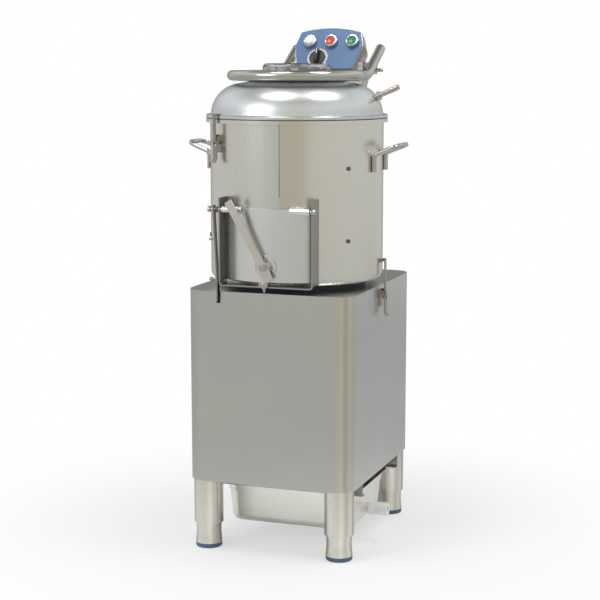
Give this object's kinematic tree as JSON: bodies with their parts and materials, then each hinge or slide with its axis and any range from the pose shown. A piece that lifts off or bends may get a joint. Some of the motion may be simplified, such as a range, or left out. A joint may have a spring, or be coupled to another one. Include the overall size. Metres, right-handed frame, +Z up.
{
  "type": "electric potato peeler",
  "caption": "Floor-standing catering potato peeler: abrasive drum on a steel cabinet, domed cover, clear lid, side door, tilted controls and a waste tray.",
  "frame": {"origin": "on the floor, under the middle of the bounding box", "axes": "+Z up, front with the discharge door towards -Y, +X to the right seen from the front"},
  "size_m": [0.494, 0.5136, 1.1371],
  "materials": {
    "brushed_box": "vertically brushed stainless sheet",
    "polished_tube": "polished stainless tube",
    "satin_dome": "satin spun aluminium",
    "clear": "clear polycarbonate",
    "rubber": "dull black rubber",
    "blue_panel": "smooth blue",
    "white_plastic": "glossy white",
    "red_plastic": "glossy red",
    "green_plastic": "glossy green",
    "black_plastic": "matte black",
    "grey_plastic": "matte pale grey",
    "foot_plastic": "matte blue-grey",
    "cast_motor": "grey enamel",
    "cast_housing": "machined casting",
    "abrasive": "coarse grit coating",
    "steel_parts": "satin steel",
    "spring_steel": "brown spring steel"
  },
  "bodies": {
    "machine": {"base_frame": "brushed_box", "leg_sleeves": "brushed_box", "foot_caps": "foot_plastic", "cabinet_shell": "brushed_box", "support_plate": "steel_parts", "rear_panel": "brushed_box", "panel_screws": "steel_parts", "cable_gland": "black_plastic", "tray_rails": "brushed_box", "bearing_housing": "cast_housing", "shaft_bearings": "steel_parts", "motor_body": "cast_motor", "v_belt": "rubber", "drum_shell": "brushed_box", "drum_spacer": "rubber", "rim_seal": "rubber", "abrasive_liner": "abrasive", "liner_screws": "steel_parts", "waste_duct": "black_plastic", "side_handles": "polished_tube", "door_frame": "brushed_box", "interlock_switch": "black_plastic", "door_catch": "steel_parts", "cover_dome": "satin_dome", "water_nozzle": "polished_tube", "control_column": "brushed_box", "control_plate": "blue_panel", "button_bezels": "grey_plastic", "lamp_lens": "white_plastic", "timer_dial": "grey_plastic", "latch_brackets": "polished_tube"},
    "peeling_rotor": {"main_shaft": "steel_parts", "shaft_pulley": "cast_housing", "abrasive_disc": "abrasive", "disc_cap": "steel_parts"},
    "motor_rotor": {"motor_pulley": "cast_housing"},
    "discharge_door": {"door_plate": "satin_dome", "door_seal": "rubber", "door_axle": "steel_parts", "axle_spring": "spring_steel", "interlock_arm": "brushed_box", "lever_bolt": "steel_parts"},
    "door_handle": {"door_lever": "brushed_box"},
    "loading_lid": {"ring_tube": "polished_tube", "hinge_axle": "steel_parts", "clear_lid": "clear", "lid_seal": "rubber"},
    "stop_key": {"stop_button": "red_plastic"},
    "start_key": {"start_button": "green_plastic"},
    "timer": {"timer_knob": "black_plastic"},
    "tray": {"waste_tray": "brushed_box", "drain_fitting": "white_plastic"},
    "cover_latch_left_grip": {"cover_latch_left_lever": "polished_tube"},
    "cover_latch_left_hook": {"cover_latch_left_strap": "polished_tube"},
    "cover_latch_right_grip": {"cover_latch_right_lever": "polished_tube"},
    "cover_latch_right_hook": {"cover_latch_right_strap": "polished_tube"},
    "drum_latch_left_grip": {"drum_latch_left_lever": "polished_tube"},
    "drum_latch_left_hook": {"drum_latch_left_strap": "polished_tube"},
    "drum_latch_right_grip": {"drum_latch_right_lever": "polished_tube"},
    "drum_latch_right_hook": {"drum_latch_right_strap": "polished_tube"}
  },
  "joints": [
    {"name": "peeling_disc_spin", "type": "hinge", "parent": "machine", "child": "peeling_rotor", "pos_m": [0, -0.03883, 0.5], "axis": [0, 0, 1], "continuous": true},
    {"name": "motor_spin", "type": "hinge", "parent": "machine", "child": "motor_rotor", "pos_m": [0, 0.11917, 0.45], "axis": [0, 0, 1], "continuous": true},
    {"name": "door_hinge", "type": "hinge", "parent": "machine", "child": "discharge_door", "pos_m": [0, -0.23333, 0.752], "axis": [-1, 0, 0], "range_deg": [0, 70]},
    {"name": "door_lever_turn", "type": "hinge", "parent": "discharge_door", "child": "door_handle", "pos_m": [0, -0.25003, 0.634], "axis": [0, -1, 0], "range_deg": [0, 50]},
    {"name": "lid_hinge", "type": "hinge", "parent": "machine", "child": "loading_lid", "pos_m": [0, 0.20617, 1.041], "axis": [-1, 0, 0], "range_deg": [0, 95]},
    {"name": "stop_button_press", "type": "slide", "parent": "machine", "child": "stop_key", "axis": [0, 0.8572, -0.515], "range_m": [0, 0.003], "stiffness_N_per_m": 500, "springref_m": -0.003},
    {"name": "start_button_press", "type": "slide", "parent": "machine", "child": "start_key", "axis": [0, 0.8572, -0.515], "range_m": [0, 0.003], "stiffness_N_per_m": 500, "springref_m": -0.003},
    {"name": "timer_turn", "type": "hinge", "parent": "machine", "child": "timer", "pos_m": [-0.021, 0.15874, 1.06977], "axis": [0, 0.8572, -0.515], "range_deg": [0, 300]},
    {"name": "tray_slide", "type": "slide", "parent": "machine", "child": "tray", "axis": [1, 0, 0], "range_m": [0, 0.34]},
    {"name": "cover_latch_left_turn", "type": "hinge", "parent": "machine", "child": "cover_latch_left_grip", "pos_m": [-0.12792, -0.19128, 0.899], "axis": [-0.766, 0.6428, 0], "range_deg": [0, 100]},
    {"name": "cover_latch_left_hook_turn", "type": "hinge", "parent": "cover_latch_left_grip", "child": "cover_latch_left_hook", "pos_m": [-0.12792, -0.19128, 0.89], "axis": [-0.766, 0.6428, 0], "range_deg": [-100, 0]},
    {"name": "cover_latch_right_turn", "type": "hinge", "parent": "machine", "child": "cover_latch_right_grip", "pos_m": [0.12792, 0.11361, 0.899], "axis": [0.766, -0.6428, 0], "range_deg": [0, 100]},
    {"name": "cover_latch_right_hook_turn", "type": "hinge", "parent": "cover_latch_right_grip", "child": "cover_latch_right_hook", "pos_m": [0.12792, 0.11361, 0.89], "axis": [0.766, -0.6428, 0], "range_deg": [-100, 0]},
    {"name": "drum_latch_right_turn", "type": "hinge", "parent": "machine", "child": "drum_latch_right_grip", "pos_m": [0.1975, -0.02283, 0.56], "axis": [0, -1, 0], "range_deg": [0, 100]},
    {"name": "drum_latch_right_hook_turn", "type": "hinge", "parent": "drum_latch_right_grip", "child": "drum_latch_right_hook", "pos_m": [0.1975, -0.02283, 0.551], "axis": [0, -1, 0], "range_deg": [-100, 0]},
    {"name": "drum_latch_left_turn", "type": "hinge", "parent": "machine", "child": "drum_latch_left_grip", "pos_m": [-0.1975, -0.02283, 0.56], "axis": [0, 1, 0], "range_deg": [0, 100]},
    {"name": "drum_latch_left_hook_turn", "type": "hinge", "parent": "drum_latch_left_grip", "child": "drum_latch_left_hook", "pos_m": [-0.1975, -0.02283, 0.551], "axis": [0, 1, 0], "range_deg": [-100, 0]}
  ],
  "couplings": [
    {"joint": "motor_spin", "follows": "peeling_disc_spin", "ratio": 3.7143},
    {"joint": "cover_latch_left_hook_turn", "follows": "cover_latch_left_turn", "ratio": -1},
    {"joint": "cover_latch_right_hook_turn", "follows": "cover_latch_right_turn", "ratio": -1},
    {"joint": "drum_latch_right_hook_turn", "follows": "drum_latch_right_turn", "ratio": -1},
    {"joint": "drum_latch_left_hook_turn", "follows": "drum_latch_left_turn", "ratio": -1}
  ]
}
